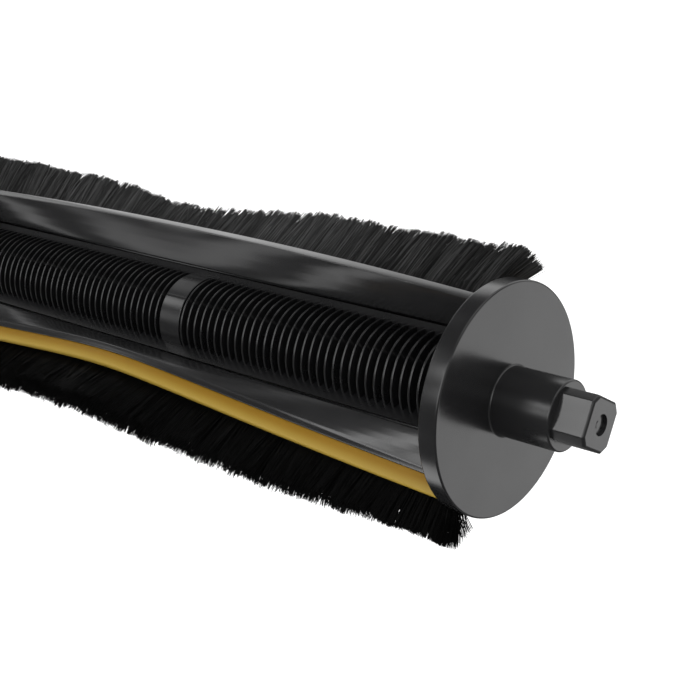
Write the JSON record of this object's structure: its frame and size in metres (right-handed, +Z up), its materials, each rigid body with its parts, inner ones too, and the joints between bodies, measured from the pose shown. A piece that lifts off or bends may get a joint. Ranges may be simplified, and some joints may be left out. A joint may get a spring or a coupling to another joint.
{
  "type": "roller brush",
  "caption": "Robot vacuum roller brush: V-twisted walls with bristle rows and soft edge strips on a ribbed core, driven by a square and carried by a turning bearing cap.",
  "frame": {"origin": "on the roller's axis, where the drive square leaves its boss", "axes": "+X along the axis out of the drive end; +Z up in the pictured pose; -Y towards the front rib window"},
  "size_m": [0.1743, 0.0442, 0.0414],
  "materials": {
    "core_plastic": "satin",
    "wing_plastic": "gloss",
    "soft_strip": "matte",
    "backing": "matte",
    "bristles": "satin",
    "cap_plastic": "satin",
    "steel": "ground",
    "bronze": "sintered",
    "holder_plastic": "satin"
  },
  "bodies": {
    "roller": {"rib_core": "core_plastic", "wing_a": "wing_plastic", "wing_b": "wing_plastic", "edge_strip_a": "soft_strip", "edge_strip_b": "soft_strip", "bristle_backing_a": "backing", "bristle_backing_b": "backing", "bristle_row_a": "bristles", "bristle_row_b": "bristles", "drive_end_cap": "cap_plastic", "idle_end_cap": "cap_plastic", "axle_pin": "steel"},
    "bearing_cap": {"bearing_bush": "bronze", "bearing_holder": "holder_plastic"}
  },
  "joints": [
    {"name": "cap_turn", "type": "hinge", "parent": "roller", "child": "bearing_cap", "pos_m": [-0.16455, 0, 0], "axis": [1, 0, 0], "continuous": true}
  ]
}
